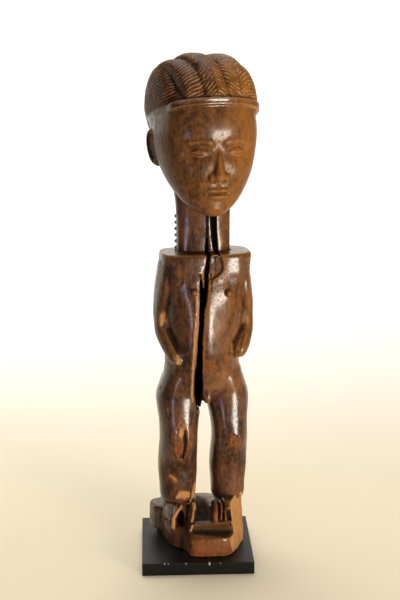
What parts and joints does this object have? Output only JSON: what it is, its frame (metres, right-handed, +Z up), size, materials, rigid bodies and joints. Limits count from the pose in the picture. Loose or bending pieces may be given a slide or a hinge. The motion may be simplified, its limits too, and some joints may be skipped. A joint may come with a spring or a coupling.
{
  "type": "carved standing figure",
  "caption": "Carved hardwood standing figure of a man with ridged hair, a tall neck and age splits, on a thin square black display plinth.",
  "frame": {"origin": "centre of the plinth's underside", "axes": "+Z up; the front of the plinth faces -Y and +X is to the right as one faces that front; the figure stands turned 8 degrees towards +X on it"},
  "size_m": [0.1023, 0.1, 0.4531],
  "materials": {
    "carved_wood": "dark oiled patina, glossy on the raised forms, raw and matt where it is broken",
    "black_lacquer": "black satin lacquer with small nicks at the edges"
  },
  "bodies": {
    "root": {"figure": "carved_wood", "plinth": "black_lacquer"}
  },
  "joints": []
}
